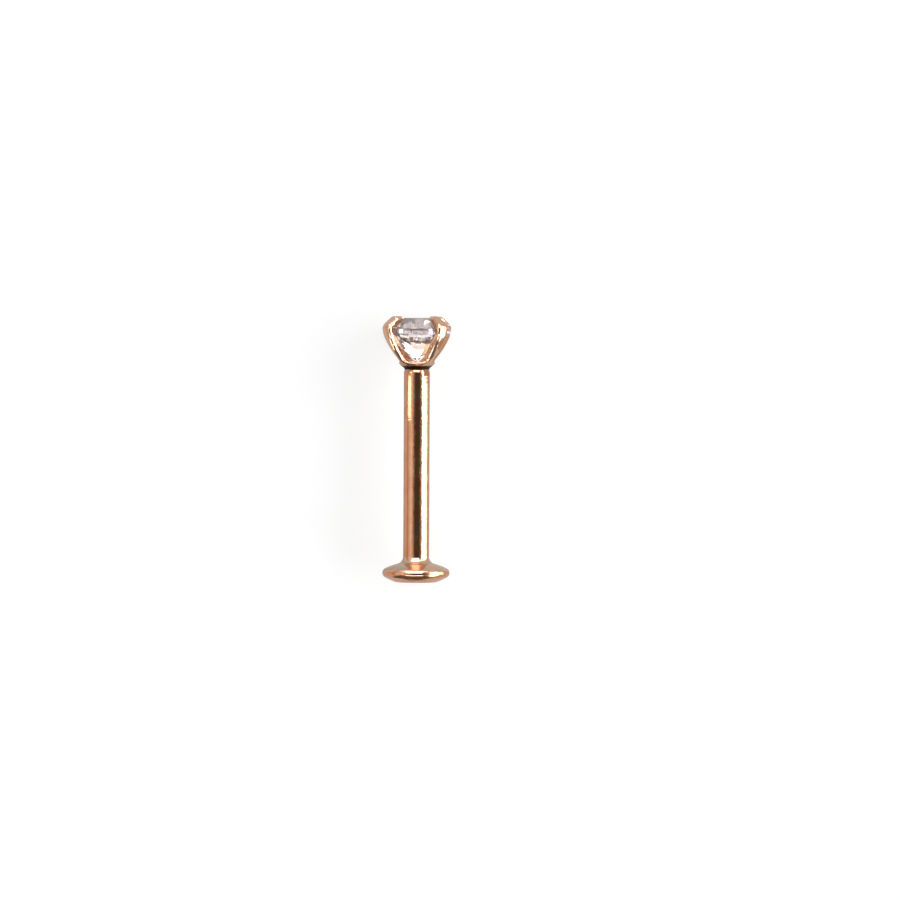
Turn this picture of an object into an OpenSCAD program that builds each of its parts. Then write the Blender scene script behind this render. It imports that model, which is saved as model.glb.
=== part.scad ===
// Labret stud with a four-prong head, lying on its side as it rests on a table.
// It is drawn upright first, on its disc with the post along Z, and then laid down
// with its head towards +X. It touches the table with two prongs and the disc's rim.
// Millimetres. The origin is the middle of the box's underside.

/* [Post] */
// Diameter of the post, 18 gauge wire with its plating
post_d = 1.04; // [0.8:0.02:1.6]
// Length of the bare post, from the disc's dome to its top face
post_l = 7.7; // [5:0.1:12]
// Rounding of the post's top edge
shoulder_r = 0.06; // [0.02:0.01:0.1]
// Hollow corner where the post runs into the disc
fillet_r = 0.3; // [0.2:0.01:0.4]

/* [Disc] */
// Diameter of the flat-back disc
disc_d = 2.7; // [2.4:0.02:4]
// Height of the rim's middle above the underside
rim_h = 0.37; // [0.34:0.01:0.45]
// Rounding of the rim
rim_round = 0.2; // [0.15:0.01:0.24]
// Radius of the dome that faces the skin
dome_r = 2.8; // [2.4:0.05:4]
// Radius of the curve below the rim, which the flat foot cuts off
under_r = 2.5; // [2.2:0.05:2.8]

/* [Pin] */
// Diameter of the hidden pin under the head
pin_d = 0.6; // [0.5:0.02:0.7]
// Length of the pin below the neck
pin_l = 2; // [1:0.1:4]
// Room around the pin in the post's bore
pin_gap = 0.03; // [0.02:0.01:0.05]
// Room below the pin's end
pin_end_gap = 0.1; // [0.05:0.05:0.3]

/* [Neck] */
// Seam between the post's top face and the head
seam = 0.02; // [0.02:0.01:0.05]
// Height of the neck, which flares from the post up to the cup
neck_h = 0.115; // [0.06:0.005:0.3]
// How far the neck's lower edge lies inside the post's surface
neck_in = 0.02; // [0:0.01:0.1]
// How far the cup's lower edge stands out past the post
cup_lip = 0.06; // [0:0.01:0.2]

/* [Cup] */
// Thickness of the cup's floor
floor_t = 0.165; // [0.12:0.005:0.4]
// Thickness of the cup's wall and prongs
wall_t = 0.36; // [0.25:0.01:0.5]
// Radius of the wall's outward bow, from its foot to the elbow
bow_r = 3.2; // [2.6:0.1:6]
// Height of the windows' sills above the cup's lower edge
sill_h = 0.195; // [0.17:0.005:0.4]
// Rounding of the windows' lower corners
window_round = 0.2; // [0.06:0.01:0.24]
// How much of the turn one prong fills
prong_deg = 18; // [14:0.5:30]

/* [Claws] */
// Metal outside the stone's girdle
prong_over = 0.28; // [0.2:0.005:0.4]
// How far the elbow starts above the girdle's lower edge
elbow_up = 0.05; // [0:0.01:0.1]
// Upright stretch of the elbow above the girdle's upper edge
elbow_over = 0.14; // [0.02:0.01:0.2]
// Inward slope of the claws over the stone
claw_deg = 50; // [40:1:55]
// Height of the claws' flat tops above the table
claw_over = 0.07; // [0.05:0.01:0.2]
// How far the claws' tips stop outside the table
claw_back = 0.07; // [0.02:0.01:0.2]

/* [Stone] */
// Diameter of the stone
stone_d = 2.68; // [2.4:0.02:4]
// Diameter of the table, corner to corner
table_d = 1.58; // [1.2:0.02:1.9]
// Height of the crown
crown_h = 0.44; // [0.36:0.01:0.52]
// Thickness of the girdle
girdle_t = 0.18; // [0.05:0.01:0.3]
// Depth of the pavilion
pavilion_h = 1.1; // [0.95:0.01:1.4]
// Where the star facets end, between the table's edge and the girdle
star_share = 0.5; // [0.4:0.05:0.6]
// Where the lower halves end, between the culet and the girdle
half_share = 0.24; // [0.15:0.01:0.4]
// Room between the stone and its seat
stone_gap = 0.03; // [0.02:0.01:0.06]
// Room between the culet and the cup's floor
culet_gap = 0.05; // [0.03:0.01:0.2]

/* [Hidden] */
rose_gold = "#d99d7c";
clear_white = "#e9e6ee";
$fn = 96;

// Past the faces that a cut starts on
cut = 1;
// Overlap of profiles that become one solid
weld = 0.02;
prongs = 4;
mains = 8;
girdle_sides = 2 * mains;

post_r = post_d / 2;
pin_r = pin_d / 2;
disc_r = disc_d / 2;

// The rim's round is tangent to both curves of the disc
rim_x = disc_r - rim_round;
dome_z = rim_h - sqrt(pow(dome_r - rim_round, 2) - pow(rim_x, 2));
under_z = rim_h + sqrt(pow(under_r - rim_round, 2) - pow(rim_x, 2));
dome_end = rim_x * dome_r / (dome_r - rim_round);
under_end = rim_x * under_r / (under_r - rim_round);
foot_r = sqrt(pow(under_r, 2) - pow(under_z, 2));

// The fillet is tangent to the post and to the dome
fillet_x = post_r + fillet_r;
fillet_z = dome_z + sqrt(pow(dome_r + fillet_r, 2) - pow(fillet_x, 2));
fillet_share = dome_r / (dome_r + fillet_r);

// Heights above the underside, from the disc up to the claws
dome_top = dome_z + sqrt(pow(dome_r, 2) - pow(post_r, 2));
post_top = dome_top + post_l;
neck_low = post_top + seam;
cup_low = neck_low + neck_h;
floor_z = cup_low + floor_t;
sill_z = cup_low + sill_h;
culet_z = floor_z + culet_gap;
girdle_low = culet_z + pavilion_h;
girdle_top = girdle_low + girdle_t;
table_z = girdle_top + crown_h;
head_top = table_z + claw_over;
elbow_low = girdle_low + elbow_up;
elbow_top = girdle_top + elbow_over;

// Radii of the stone, whose girdle has its flats on the round stone's circle
stone_r = stone_d / 2;
corner_r = stone_r / cos(180 / girdle_sides);
table_r = table_d / 2;
turn = 360 / girdle_sides;
crown_slope = crown_h / (corner_r - table_r);
pavilion_slope = pavilion_h / corner_r;
star_r = table_r * cos(turn) * (1 - star_share) + corner_r * star_share;
star_z = table_z - (star_r * cos(turn) - table_r) * crown_slope;
half_r = corner_r * half_share;
half_z = culet_z + half_r * cos(turn) * pavilion_slope;

// Radii of the setting
neck_r = post_r - neck_in;
foot_cup_r = post_r + cup_lip;
neck_top_r = foot_cup_r - weld / 2;
seat_r = corner_r + stone_gap;
elbow_r = seat_r + prong_over;
claw_top_r = elbow_r - (head_top - elbow_top) * tan(claw_deg);
claw_tip_r = table_r + claw_back;
seat_drop = stone_gap * sqrt(1 + pow(pavilion_slope, 2));
crown_rise = stone_gap * sqrt(1 + pow(crown_slope, 2));

// Centre of the wall's bow, on the axis side of the line from its foot to the elbow
bow_run = [elbow_r - foot_cup_r, elbow_low - cup_low];
bow_mid = [elbow_r + foot_cup_r, elbow_low + cup_low] / 2;
bow_back = sqrt(pow(bow_r, 2) - bow_run * bow_run / 4) / norm(bow_run);
bow_centre = bow_mid + bow_back * [-bow_run.y, bow_run.x];
window_half = 180 / prongs - prong_deg / 2;
sill_half = (foot_cup_r + wall_t / 2) * sin(window_half) - window_round;

// The stud leans until two prongs, or else the stone, touch the table with the rim
rest_r = max(stone_r, elbow_r * cos(180 / prongs - prong_deg / 2));
lean = atan2(rest_r - disc_r, elbow_low - rim_h);
axis_z = rest_r * cos(lean) - elbow_low * sin(lean);
mid_x = head_top * cos(lean) / 2;

module laid_down() {
    translate([-mid_x, 0, axis_z]) rotate([0, 90 - lean, 0]) children();
}

module disc_profile() {
    translate([rim_x, rim_h]) circle(rim_round);
    intersection() {
        translate([0, dome_z]) circle(dome_r);
        translate([0, rim_h]) square([dome_end, dome_r]);
    }
    intersection() {
        translate([0, under_z]) circle(under_r);
        square([under_end, rim_h + weld]);
    }
}

// It reaches into the post and the dome, so that they become one solid
module fillet_profile() {
    difference() {
        polygon([
            [post_r - weld, fillet_z],
            [fillet_x, fillet_z],
            [fillet_x * fillet_share, dome_z + (fillet_z - dome_z) * fillet_share],
            [post_r - weld, dome_top - 2 * weld],
        ]);
        translate([fillet_x, fillet_z]) circle(fillet_r);
    }
}

module post_profile() {
    translate([0, rim_h]) square([post_r, post_top - shoulder_r - rim_h]);
    translate([0, rim_h]) square([post_r - shoulder_r, post_top - rim_h]);
    translate([post_r - shoulder_r, post_top - shoulder_r]) circle(shoulder_r);
}

module post() {
    bore_l = pin_l - seam + pin_end_gap;
    color(rose_gold) laid_down() difference() {
        union() {
            rotate_extrude() disc_profile();
            rotate_extrude() fillet_profile();
            rotate_extrude() post_profile();
        }
        translate([0, 0, post_top - bore_l]) cylinder(r = pin_r + pin_gap, h = bore_l + cut);
    }
}

// The wall's outer form, solid to the axis
module cup_profile() {
    intersection() {
        translate(bow_centre) circle(bow_r);
        polygon([
            [0, cup_low],
            [elbow_r, cup_low],
            [elbow_r, elbow_top],
            [claw_top_r, head_top],
            [0, head_top],
        ]);
    }
}

// The hollow under the stone, and the stone's own room with its seat
module hollow_profile() {
    intersection() {
        translate(bow_centre) circle(bow_r - wall_t);
        translate([0, floor_z]) square([elbow_r, girdle_low - floor_z]);
    }
    polygon([
        [0, floor_z],
        [(floor_z - culet_z + seat_drop) / pavilion_slope, floor_z],
        [seat_r, culet_z - seat_drop + seat_r * pavilion_slope],
        [seat_r, girdle_top + crown_rise + (corner_r - seat_r) * crown_slope],
        [claw_tip_r, girdle_top + crown_rise + (corner_r - claw_tip_r) * crown_slope],
        [claw_tip_r, head_top + cut],
        [0, head_top + cut],
    ]);
}

// The gap between two prongs, open at the top and rounded at the sill's corners
module window() {
    reach = 2 * elbow_r;
    round_z = sill_z + window_round;
    translate([0, 0, round_z]) linear_extrude(head_top) polygon([
        [0, 0],
        reach * [cos(window_half), -sin(window_half)],
        reach * [cos(window_half), sin(window_half)],
    ]);
    translate([0, -sill_half, sill_z]) cube([reach, 2 * sill_half, 2 * window_round]);
    for (side = [-1, 1])
        translate([0, side * sill_half, round_z]) rotate([0, 90, 0])
            cylinder(r = window_round, h = reach);
}

module setting() {
    color(rose_gold) laid_down() {
        difference() {
            rotate_extrude() difference() {
                cup_profile();
                hollow_profile();
            }
            for (k = [0:prongs - 1]) rotate(k * 360 / prongs) window();
        }
        translate([0, 0, neck_low]) cylinder(r1 = neck_r, r2 = neck_top_r, h = neck_h + weld);
        translate([0, 0, neck_low - pin_l]) cylinder(r = pin_r, h = pin_l + weld);
    }
}

function ring(r, z, n, start) = [for (i = [0:n - 1]) [
    r * cos(start + i * 360 / n), r * sin(start + i * 360 / n), z]];

// Round brilliant: table, star and main facets and upper halves over the girdle, and
// lower halves and mains under it
module stone() {
    start = turn / 2;
    star = mains;
    upper = 2 * mains;
    lower = upper + girdle_sides;
    half = lower + girdle_sides;
    culet = half + mains;
    points = concat(
        ring(table_r, table_z, mains, start),
        ring(star_r, star_z, mains, start + turn),
        ring(corner_r, girdle_top, girdle_sides, start),
        ring(corner_r, girdle_low, girdle_sides, start),
        ring(half_r, half_z, mains, start + turn),
        [[0, 0, culet_z]]);
    function next(k) = (k + 1) % mains;
    function last(k) = (k + mains - 1) % mains;
    function g(k) = k % girdle_sides;
    faces = concat(
        [[for (k = [mains - 1:-1:0]) k]],
        [for (k = [0:mains - 1]) [next(k), star + k, k]],
        [for (k = [0:mains - 1]) [k, star + k, upper + 2 * k, star + last(k)]],
        [for (k = [0:mains - 1], i = [0, 1])
            [star + k, upper + g(2 * k + i + 1), upper + g(2 * k + i)]],
        [for (k = [0:girdle_sides - 1])
            [upper + k, upper + g(k + 1), lower + g(k + 1), lower + k]],
        [for (k = [0:mains - 1], i = [0, 1])
            [lower + g(2 * k + i), lower + g(2 * k + i + 1), half + k]],
        [for (k = [0:mains - 1]) [lower + 2 * k, half + k, culet, half + last(k)]]);
    color(clear_white) laid_down() polyhedron(points, faces);
}

post();
setting();
stone();
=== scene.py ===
"""A rose gold labret stud with a four-prong head and a clear stone, lying on a pale table.

The stud's three pieces are made again with fine meshes, at the places and sizes of the
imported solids. Each sub-assembly is a class: its fields are its sizes in millimetres,
measured upright on the disc's underside, and its methods build and dress its mesh.
"""

import logging
import math
from dataclasses import dataclass
from enum import Enum
from functools import partial, reduce
from typing import Callable, NamedTuple, Sequence, Union

import bmesh
import bpy
from mathutils import Matrix, Vector


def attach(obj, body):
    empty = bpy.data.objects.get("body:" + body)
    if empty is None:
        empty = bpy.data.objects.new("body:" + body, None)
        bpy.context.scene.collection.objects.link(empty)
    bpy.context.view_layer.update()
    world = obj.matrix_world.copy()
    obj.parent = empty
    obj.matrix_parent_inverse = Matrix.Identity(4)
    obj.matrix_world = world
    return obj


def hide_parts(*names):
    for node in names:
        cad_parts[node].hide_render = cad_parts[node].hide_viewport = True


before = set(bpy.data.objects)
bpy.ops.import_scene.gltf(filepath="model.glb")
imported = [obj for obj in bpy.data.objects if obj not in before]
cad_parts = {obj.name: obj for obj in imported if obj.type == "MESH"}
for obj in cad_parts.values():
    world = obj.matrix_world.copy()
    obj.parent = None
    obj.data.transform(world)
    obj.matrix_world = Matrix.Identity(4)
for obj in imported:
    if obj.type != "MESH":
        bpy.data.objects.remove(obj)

log = logging.getLogger("labret_stud")

MM = 0.001
BODY = "root"
IMAGE_SIDE = 900
FULL_TURN = 2 * math.pi
SAME_POINT = 1e-6
MERGE_GAP = 1e-5
PAPER_ROUGHNESS = 0.8
Colour = tuple[float, float, float]
Span = tuple[float, float]


class Slot(Enum):
    """The record's material slots."""

    ROSE_GOLD = "rose_gold"
    CLEAR_STONE = "clear_stone"


class Shows(Enum):
    """The kinds of rays that meet a sheet of the stage."""

    SEEN = ("camera",)
    MIRRORED = ("glossy", "transmission")
    THROUGH_STONE = ("transmission",)


def arithmetic(operation: str, reflected: bool = False) -> Callable[["Wire", "Value"], "Wire"]:
    """Makes the method behind one of a wire's operators.

    Args:
        operation: The Math node's operation.
        reflected: Whether the wire stands on the operator's right.

    Returns:
        The method, which adds the Math node.
    """

    def method(wire: "Wire", other: "Value") -> "Wire":
        """Returns the operation's result on the wire and the other value."""
        return wire.graph.math(operation, *((other, wire) if reflected else (wire, other)))

    return method


class Wire:
    """An output socket of a node, on which arithmetic adds Math nodes."""

    def __init__(self, graph: "Graph", socket: bpy.types.NodeSocket) -> None:
        """Wraps one socket.

        Args:
            graph: The graph that the socket's node is in.
            socket: The output socket.
        """
        self.graph = graph
        self.socket = socket

    def __neg__(self) -> "Wire":
        """Returns -self."""
        return self * -1.0

    __add__ = arithmetic("ADD")
    __radd__ = arithmetic("ADD", reflected=True)
    __sub__ = arithmetic("SUBTRACT")
    __rsub__ = arithmetic("SUBTRACT", reflected=True)
    __mul__ = arithmetic("MULTIPLY")
    __rmul__ = arithmetic("MULTIPLY", reflected=True)
    __truediv__ = arithmetic("DIVIDE")
    __rtruediv__ = arithmetic("DIVIDE", reflected=True)


Value = Union[Wire, float, int, bool, str, Sequence[float], bpy.types.Material]


class Graph:
    """A node tree, filled by one method that adds any node."""

    def __init__(self, tree: bpy.types.NodeTree) -> None:
        """Starts from an empty tree.

        Args:
            tree: The tree of a material, the world or a Geometry Nodes group.
        """
        self.tree = tree
        self.tree.nodes.clear()

    def add(
        self,
        kind: str,
        settings: dict[str, object] | None = None,
        inputs: dict[str | int, Value] | None = None,
        output: str | int = 0,
    ) -> Wire:
        """Adds a node of any type.

        Args:
            kind: The node's type name.
            settings: Properties that are set before the sockets, and a ramp's "stops".
            inputs: Values or wires, by the socket's name or number.
            output: The name or number of the output that is returned.

        Returns:
            The output as a wire.
        """
        node = self.tree.nodes.new(kind)
        for name, value in (settings or {}).items():
            if name == "stops":
                self._fill_ramp(node.color_ramp, value)
            else:
                setattr(node, name, value)
        for key, value in (inputs or {}).items():
            self._feed(self._socket(node.inputs, key), value)
        return Wire(self, self._socket(node.outputs, output) if node.outputs else None)

    def math(self, operation: str, *values: Value) -> Wire:
        """Returns the result of a Math node on the values."""
        return self.add("ShaderNodeMath", {"operation": operation}, dict(enumerate(values)))

    def vector(self, operation: str, *values: Value, output: str = "Vector") -> Wire:
        """Returns the result of a Vector Math node on the values."""
        return self.add("ShaderNodeVectorMath", {"operation": operation}, dict(enumerate(values)), output)

    def split(self, vector: Wire) -> tuple[Wire, ...]:
        """Returns a vector's three parts."""
        node = self.add("ShaderNodeSeparateXYZ", inputs={"Vector": vector}).socket.node
        return tuple(Wire(self, socket) for socket in node.outputs)

    def mix_colour(self, share: Value, first: Value, second: Value) -> Wire:
        """Returns the first colour where share is 0, and the second where it is 1."""
        inputs = {"Factor": share, "A": first, "B": second}
        return self.add("ShaderNodeMix", {"data_type": "RGBA"}, inputs, "Result")

    def step(self, value: Value, low: float, high: float) -> Wire:
        """Returns a soft step, 0 below low and 1 above high, or the other way round."""
        inputs = {"Value": value, "From Min": low, "From Max": high}
        return self.add("ShaderNodeMapRange", {"interpolation_type": "SMOOTHSTEP"}, inputs)

    def most(self, *values: Value) -> Wire:
        """Returns the largest of the values."""
        return reduce(partial(self.math, "MAXIMUM"), values)

    def least(self, *values: Value) -> Wire:
        """Returns the smallest of the values."""
        return reduce(partial(self.math, "MINIMUM"), values)

    def length(self, first: Wire, second: Wire) -> Wire:
        """Returns the length of a line, by its two parts at right angles."""
        return self.math("SQRT", first * first + second * second)

    def both(self, first: Wire, second: Wire, radius: Value) -> Wire:
        """Returns the distance to what two solids share, with its edge rounded.

        Args:
            first: Signed distance to one solid, negative inside it.
            second: Signed distance to the other solid.
            radius: Radius of the rounded edge.

        Returns:
            The signed distance to the shared part.
        """
        corner = self.length(self.most(first + radius, 0.0), self.most(second + radius, 0.0))
        return self.least(self.most(first, second), -radius) + corner

    def either(self, first: Wire, second: Wire, radius: Value) -> Wire:
        """Returns the distance to two solids together, with a fillet between them."""
        return -self.both(-first, -second, radius)

    def place(self) -> Wire:
        """Returns the Object coordinates in millimetres."""
        inputs = {"Vector": self.add("ShaderNodeTexCoord", output="Object"), "Scale": 1 / MM}
        return self.add("ShaderNodeVectorMath", {"operation": "SCALE"}, inputs, "Vector")

    def surface(self, inputs: dict[str | int, Value]) -> None:
        """Adds the Principled shader with those inputs and ends the material in it."""
        shader = self.add("ShaderNodeBsdfPrincipled", inputs=inputs)
        self.add("ShaderNodeOutputMaterial", inputs={"Surface": shader})

    @staticmethod
    def _socket(sockets: bpy.types.bpy_prop_collection, key: str | int) -> bpy.types.NodeSocket:
        """Finds a socket.

        Args:
            sockets: A node's inputs or outputs.
            key: The socket's name or number.

        Returns:
            The socket, enabled where it goes by its name.
        """
        if isinstance(key, int):
            return sockets[key]
        return next(socket for socket in sockets if socket.name == key and socket.enabled)

    def _feed(self, socket: bpy.types.NodeSocket, value: Value) -> None:
        """Links a wire to a socket, or sets the socket's own value.

        Args:
            socket: The input socket.
            value: The wire or the value.
        """
        if isinstance(value, Wire):
            self.tree.links.new(value.socket, socket)
        elif socket.type == "RGBA" and len(value) == 3:
            socket.default_value = (*value, 1.0)
        else:
            socket.default_value = value

    @staticmethod
    def _fill_ramp(ramp: bpy.types.ColorRamp, stops: Sequence[tuple[float, Colour]]) -> None:
        """Sets a colour ramp's stops.

        Args:
            ramp: The ramp.
            stops: Their places, with their colours.
        """
        while len(ramp.elements) < len(stops):
            ramp.elements.new(1.0)
        for element, (place, colour) in zip(ramp.elements, stops):
            element.position = place
            element.color = (*colour, 1.0)


class ShapeTree(Graph):
    """A Geometry Nodes tree with named inputs that turns one object into a plain mesh."""

    TYPES = {float: "NodeSocketFloat", int: "NodeSocketInt", bpy.types.Material: "NodeSocketMaterial"}

    def __init__(self, name: str) -> None:
        """Starts a tree whose first input and only output are the geometry.

        Args:
            name: The tree's name.
        """
        super().__init__(bpy.data.node_groups.new(name, "GeometryNodeTree"))
        self.values: dict[str, object] = {}
        self.tree.interface.new_socket("Geometry", in_out="OUTPUT", socket_type="NodeSocketGeometry")
        self.tree.interface.new_socket("Geometry", in_out="INPUT", socket_type="NodeSocketGeometry")
        self.inlet = self.tree.nodes.new("NodeGroupInput")

    @property
    def geometry(self) -> Wire:
        """The geometry of the object that the tree runs on."""
        return Wire(self, self.inlet.outputs["Geometry"])

    def size(self, name: str, value: object) -> Wire:
        """Adds a named input and returns it as a wire.

        Args:
            name: The input's name.
            value: Its value, whose type is the input's.

        Returns:
            The input inside the tree.
        """
        kind = self.TYPES[type(value)]
        socket = self.tree.interface.new_socket(name, in_out="INPUT", socket_type=kind)
        self.values[socket.identifier] = value
        return Wire(self, self.inlet.outputs[name])

    def end(self, geometry: Wire, material: bpy.types.Material) -> None:
        """Ends the tree in Realize Instances and Set Material.

        Args:
            geometry: The finished shape.
            material: The finish that it gets.
        """
        real = self.add("GeometryNodeRealizeInstances", inputs={"Geometry": geometry})
        finish = self.size("Finish", material)
        dressed = self.add("GeometryNodeSetMaterial", inputs={"Geometry": real, "Material": finish})
        outlet = self.tree.nodes.new("NodeGroupOutput")
        self.tree.links.new(dressed.socket, outlet.inputs["Geometry"])

    def run(self, piece: bpy.types.Object) -> None:
        """Runs the tree on a piece, and leaves the result as its plain mesh.

        Args:
            piece: The object whose mesh is the tree's geometry.
        """
        modifier = piece.modifiers.new(self.tree.name, "NODES")
        modifier.node_group = self.tree
        for identifier, value in self.values.items():
            modifier[identifier] = value
        view = bpy.context.evaluated_depsgraph_get()
        mesh = bpy.data.meshes.new_from_object(piece.evaluated_get(view), depsgraph=view)
        piece.modifiers.clear()
        piece.data = mesh


def new_material(name: str) -> tuple[bpy.types.Material, Graph]:
    """Makes a material.

    Args:
        name: The material's name.

    Returns:
        The material and the graph of its empty node tree.
    """
    material = bpy.data.materials.new(name)
    material.use_nodes = True
    return material, Graph(material.node_tree)


def new_piece(name: str, mesh: bpy.types.Mesh | None = None) -> bpy.types.Object:
    """Makes an object at the origin and links it to the scene.

    Args:
        name: The piece's name.
        mesh: Its mesh, or none for an empty one.

    Returns:
        The new object.
    """
    piece = bpy.data.objects.new(name, mesh or bpy.data.meshes.new(name))
    bpy.context.scene.collection.objects.link(piece)
    return piece


class Outline:
    """Half of a turned piece's outline, as radii and heights."""

    def __init__(self, start: tuple[float, float]) -> None:
        """Starts the outline.

        Args:
            start: The first radius and height.
        """
        self.points = [start]

    def line(self, radius: float, height: float, steps: int = 1) -> "Outline":
        """Adds a straight stretch.

        Args:
            radius: Radius at its end.
            height: Height at its end.
            steps: Number of parts that it is cut into.

        Returns:
            The outline itself.
        """
        first = self.points[-1]
        for k in range(1, steps + 1):
            share = k / steps
            self.points.append((
                first[0] + (radius - first[0]) * share,
                first[1] + (height - first[1]) * share,
            ))
        return self

    def arc(
        self, centre: tuple[float, float], radius: float, start: float, end: float, steps: int
    ) -> "Outline":
        """Adds an arc, joined to the last point by a straight line where they differ.

        Args:
            centre: Radius and height of the arc's centre.
            radius: The arc's radius.
            start: Angle at which it starts, in radians from the outward direction.
            end: Angle at which it ends.
            steps: Number of parts that it is cut into.

        Returns:
            The outline itself.
        """
        for k in range(steps + 1):
            angle = start + (end - start) * k / steps
            point = (centre[0] + radius * math.cos(angle), centre[1] + radius * math.sin(angle))
            if math.dist(point, self.points[-1]) > SAME_POINT:
                self.points.append(point)
        return self

    def mesh(self, name: str) -> bpy.types.Mesh:
        """Makes a mesh of the outline's points and edges in the XZ plane.

        Args:
            name: The mesh's name.

        Returns:
            The mesh.
        """
        mesh = bpy.data.meshes.new(name)
        edges = [(k, k + 1) for k in range(len(self.points) - 1)]
        mesh.from_pydata([(radius, 0.0, height) for radius, height in self.points], edges, [])
        return mesh


@dataclass(frozen=True)
class Grain:
    """A soft noise, by its features to the millimetre, and the mask that it gives.

    The mask is 0 where the noise is below low, and 1 where it is above high.
    """

    scale: float
    detail: float = 1.0
    low: float = 0.0
    high: float = 1.0

    def noise(self, graph: Graph, place: Wire) -> Wire:
        """Returns the noise at a place in millimetres."""
        inputs = {"Vector": place, "Scale": self.scale, "Detail": self.detail}
        return graph.add("ShaderNodeTexNoise", inputs=inputs, output="Fac")

    def mask(self, graph: Graph, place: Wire) -> Wire:
        """Returns the mask at a place in millimetres."""
        return graph.step(self.noise(graph, place), self.low, self.high)


class Scratches(NamedTuple):
    """Scratches in one direction, by its turn in radians and their cells along and across it."""

    turn: float
    along: float
    across: float


@dataclass(frozen=True)
class RoseGold:
    """Polished rose gold plating, with soft waves, dents, turning marks and hairlines.

    Depths are in millimetres, and the patterns follow the piece's own coordinates. The
    turning marks are fainter below the height marks_from, and above it deeper in patches.
    """

    plating: Colour = (0.73, 0.38, 0.22)
    deep: Colour = (0.67, 0.31, 0.17)
    tones: Grain = Grain(scale=1.3, detail=3.0, low=0.35, high=0.7)
    polish: float = 0.07
    smudge: float = 0.07
    smudges: Grain = Grain(scale=2.6, detail=4.0, low=0.45, high=0.75)
    wave_depth: float = 0.004
    waves: Grain = Grain(scale=1.6)
    dent_depth: float = 0.006
    dents: Grain = Grain(scale=3.4)
    mark_depth: float = 0.005
    marks: Grain = Grain(scale=7.5)
    mark_squeeze: Colour = (1.4, 0.8, 0.8)
    mark_patches: Grain = Grain(scale=0.45, low=0.42, high=0.62)
    marks_from: float = 0.9
    marks_blend: float = 0.1
    marks_least: float = 0.5
    hairline_depth: float = 0.0006
    hairline_roughness: float = 0.12
    hairline_width: float = 0.035
    hairline_cells: float = 0.55
    hairlines: tuple[Scratches, ...] = (
        Scratches(turn=0.12, along=1.1, across=11.0),
        Scratches(turn=-0.5, along=1.6, across=14.0),
        Scratches(turn=1.35, along=1.3, across=12.0),
    )
    worn: Grain = Grain(scale=3.5, detail=2.0, low=0.5, high=0.62)

    def material(self, name: str, lie: "Lie", stretch: "Stretch") -> bpy.types.Material:
        """Builds the finish.

        Args:
            name: The material's name.
            lie: How the stud lies, for patterns round its axis.
            stretch: The stretch of the piece whose colour and finish differ: satin, or painted shade.

        Returns:
            The material.
        """
        material, graph = new_material(name)
        place = graph.place()
        height, radius = lie.upright(graph, place)
        mask = stretch.mask(graph, height, radius)
        colour = graph.mix_colour(self.tones.mask(graph, place), self.plating, self.deep)
        scratches = self._scratches(graph, place)
        smudged = self.smudges.mask(graph, place) * self.smudge
        roughness = self.polish + smudged + scratches * self.hairline_roughness
        relief = self._relief(graph, place, height) - scratches * self.hairline_depth
        bump = graph.add("ShaderNodeBump", inputs={"Strength": 1.0, "Distance": MM, "Height": relief})
        graph.surface({
            "Base Color": graph.mix_colour(mask, colour, stretch.plating),
            "Metallic": 1.0,
            "Roughness": roughness + mask * stretch.roughness,
            "Normal": bump,
        })
        return material

    def _relief(self, graph: Graph, place: Wire, height: Wire) -> Wire:
        """Adds the nodes for the waves, the dents and the turning marks.

        Args:
            graph: The material's graph.
            place: Object coordinates in millimetres.
            height: Height on the upright stud.

        Returns:
            How far they rise, in millimetres.
        """
        marked = graph.step(height, self.marks_from - self.marks_blend, self.marks_from + self.marks_blend)
        patches = self.mark_patches.mask(graph, place) + self.marks_least
        marks = self.marks.noise(graph, graph.vector("MULTIPLY", place, self.mark_squeeze))
        return (
            self.waves.noise(graph, place) * self.wave_depth
            + self.dents.noise(graph, place) * self.dent_depth
            + marks * (marked * patches + self.marks_least) * self.mark_depth
        )

    def _scratches(self, graph: Graph, place: Wire) -> Wire:
        """Adds the nodes for fine scratches, mostly along and across the stud.

        Args:
            graph: The material's graph.
            place: Object coordinates in millimetres.

        Returns:
            A mask of the scratches.
        """
        lines = []
        for turn, along, across in self.hairlines:
            inputs = {"Vector": place, "Rotation": (turn, turn, turn), "Scale": (along, across, across)}
            cells = {"Vector": graph.add("ShaderNodeMapping", inputs=inputs), "Scale": self.hairline_cells}
            feature = {"feature": "DISTANCE_TO_EDGE"}
            edges = graph.add("ShaderNodeTexVoronoi", feature, cells, "Distance")
            lines.append(graph.step(edges, self.hairline_width, 0.0))
        return graph.most(*lines) * self.worn.mask(graph, place)


@dataclass(frozen=True)
class Stretch:
    """A stretch of a turned piece, by its heights, whose colour and finish differ from the rest, such as a
    satin band or a painted shade in a seam.

    It reaches in to the radius inner, and its roughness is added to the rest's.
    """

    low: float
    high: float
    inner: float
    plating: Colour
    roughness: float
    blend: float

    def mask(self, graph: Graph, height: Wire, radius: Wire) -> Wire:
        """Adds the nodes that tell the stretch from the rest.

        Args:
            graph: The material's graph.
            height: Height on the upright stud.
            radius: Distance from its axis.

        Returns:
            A mask, 1 on the stretch and 0 elsewhere.
        """
        over = graph.step(height, self.low - self.blend, self.low + self.blend)
        under = graph.step(height, self.high + self.blend, self.high - self.blend)
        outside = graph.step(radius, self.inner - self.blend, self.inner + self.blend)
        return over * under * outside


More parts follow.
